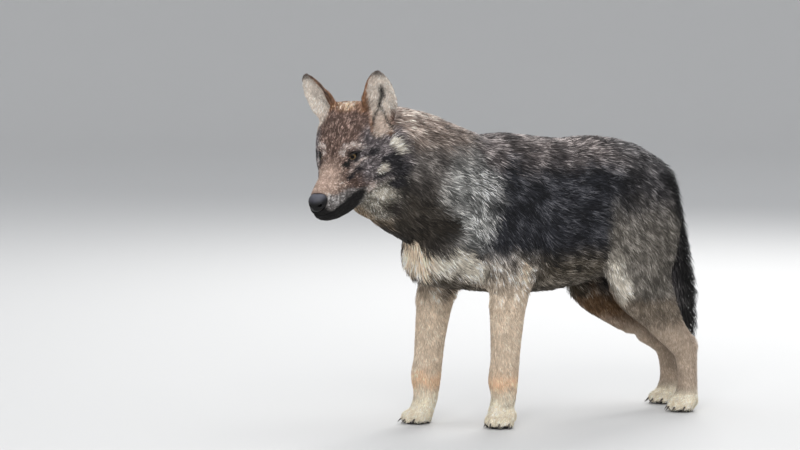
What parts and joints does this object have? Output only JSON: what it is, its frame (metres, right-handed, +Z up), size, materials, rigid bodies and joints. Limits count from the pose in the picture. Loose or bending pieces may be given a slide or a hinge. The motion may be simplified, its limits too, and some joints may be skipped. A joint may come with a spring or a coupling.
{
  "type": "young grey wolf",
  "caption": "Young grey wolf standing still on four paws, head lowered and turned to its left, ears up, tail hanging.",
  "frame": {"origin": "middle of the bounding box's base, on the floor that the paws rest on", "axes": "-Y the way the body faces, +X the animal's left side, +Z up"},
  "size_m": [0.2502, 1.0262, 0.7584],
  "materials": {
    "coat_head": "short grizzled fur, cinnamon on the muzzle, pale over the eyes, dark cheek stripes",
    "coat_ears": "short tan fur with dark rims, cream inside",
    "coat_neck": "thick grey-brown fur with dark tips",
    "coat_body": "thick mottled fur, charcoal tips over pale grey bands",
    "coat_legs": "short pale cream fur, faintly speckled, with dark claws",
    "coat_tail": "long dark fur, black at the tip",
    "nose": "moist pebbled black skin",
    "eye": "wet amber-brown iris, black pupil"
  },
  "bodies": {
    "root": {"head": "coat_head", "jaw": "coat_head", "nose": "nose", "eye_left": "eye", "eye_right": "eye", "ear_left": "coat_ears", "ear_right": "coat_ears", "neck": "coat_neck", "chest": "coat_body", "belly": "coat_body", "rump": "coat_body", "tail": "coat_tail", "foreleg_left_shoulder": "coat_body", "foreleg_left_forearm": "coat_legs", "foreleg_left_paw": "coat_legs", "foreleg_right_shoulder": "coat_body", "foreleg_right_forearm": "coat_legs", "foreleg_right_paw": "coat_legs", "hindleg_left_thigh": "coat_body", "hindleg_left_shank": "coat_legs", "hindleg_left_hock": "coat_legs", "hindleg_left_paw": "coat_legs", "hindleg_right_thigh": "coat_body", "hindleg_right_shank": "coat_legs", "hindleg_right_hock": "coat_legs", "hindleg_right_paw": "coat_legs"}
  },
  "joints": []
}
